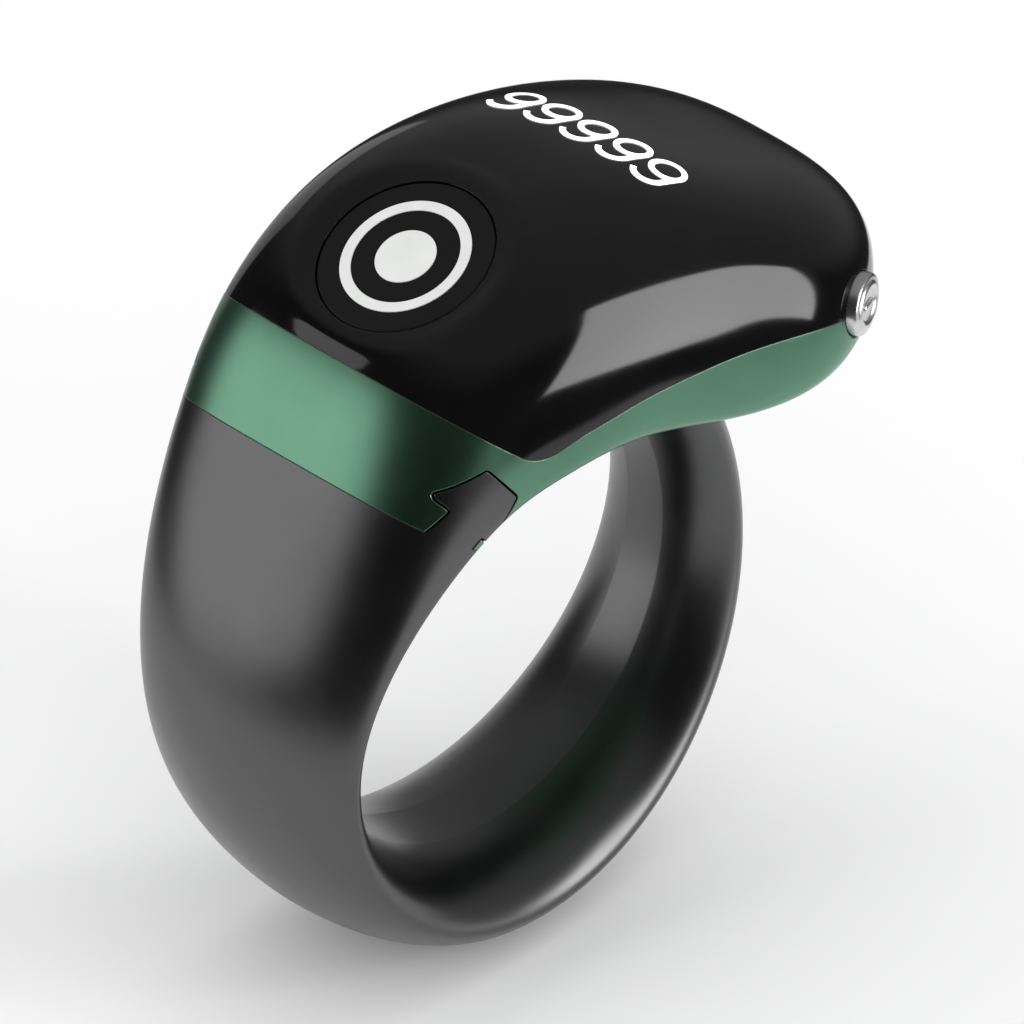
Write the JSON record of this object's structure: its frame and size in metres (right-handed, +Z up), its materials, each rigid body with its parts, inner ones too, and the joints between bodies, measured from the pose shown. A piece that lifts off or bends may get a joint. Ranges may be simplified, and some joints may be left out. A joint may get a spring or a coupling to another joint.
{
  "type": "digital tasbih counter",
  "caption": "Finger-worn electronic bead counter: comfort band keyed to an overhanging two-part head with a round count button, a lit number display and a small side button.",
  "frame": {"origin": "centre of the finger bore, halfway along the finger", "axes": "+Y along the finger bore; +Z up through the head's crown; +X towards the overhanging tip of the head; the side button is on the -Y side"},
  "size_m": [0.0313, 0.0186, 0.0337],
  "materials": {
    "gunmetal_band": "satin gunmetal",
    "green_shell": "satin metallic green",
    "black_cover": "gloss black",
    "matte_button": "matte black",
    "white_mark": "matte white print",
    "seal_rubber": "matte",
    "ivory_plastic": "matte",
    "switch_metal": "satin",
    "circuit_board": "satin solder mask",
    "bracket_steel": "satin",
    "flex_film": "satin amber film",
    "lit_numerals": "lit white",
    "foam": "matte",
    "panel_glass": "gloss",
    "frame_plastic": "matte",
    "chip_resin": "matte",
    "ceramic": "matte",
    "component_ceramic": "matte",
    "cell_foil": "satin foil",
    "lead_red": "satin",
    "polished_steel": "polished",
    "gold_plate": "polished",
    "screw_steel": "satin"
  },
  "bodies": {
    "ring": {"ring_band": "gunmetal_band", "lower_housing": "green_shell", "top_cover": "black_cover", "count_switch": "switch_metal", "button_board": "circuit_board", "switch_bridge": "bracket_steel", "button_flex": "flex_film", "display_numerals": "lit_numerals", "display_gasket": "foam", "display_panel": "panel_glass", "display_frame": "frame_plastic", "display_flex": "flex_film", "main_board": "circuit_board", "controller_chip": "chip_resin", "memory_chip": "chip_resin", "antenna_chip": "ceramic", "small_components": "component_ceramic", "vibration_motor": "switch_metal", "battery_cell": "cell_foil", "battery_pad": "foam", "battery_leads": "lead_red", "side_switch": "switch_metal", "side_bracket": "bracket_steel", "charging_pins": "gold_plate", "pin_insulator": "frame_plastic", "board_screws": "screw_steel", "band_screw": "screw_steel"},
    "count_cap": {"count_button": "matte_button", "button_ring_mark": "white_mark", "button_dot_mark": "white_mark", "button_seal": "seal_rubber"},
    "count_actuator": {"count_plunger": "ivory_plastic"},
    "side_cap": {"side_button": "polished_steel"},
    "side_actuator": {"side_plunger": "ivory_plastic"}
  },
  "joints": [
    {"name": "count_press", "type": "slide", "parent": "ring", "child": "count_cap", "axis": [0.4122, 0, -0.9111], "range_m": [0, 0.00035], "stiffness_N_per_m": 3000},
    {"name": "count_plunger_press", "type": "slide", "parent": "ring", "child": "count_actuator", "axis": [0.4122, 0, -0.9111], "range_m": [0, 0.00035]},
    {"name": "side_press", "type": "slide", "parent": "ring", "child": "side_cap", "axis": [-0.4059, 0.9139, 0], "range_m": [0, 0.00025], "stiffness_N_per_m": 3000},
    {"name": "side_plunger_press", "type": "slide", "parent": "ring", "child": "side_actuator", "axis": [-0.4059, 0.9139, 0], "range_m": [0, 0.00025]}
  ],
  "couplings": [
    {"joint": "count_plunger_press", "follows": "count_press", "ratio": 1},
    {"joint": "side_plunger_press", "follows": "side_press", "ratio": 1}
  ]
}
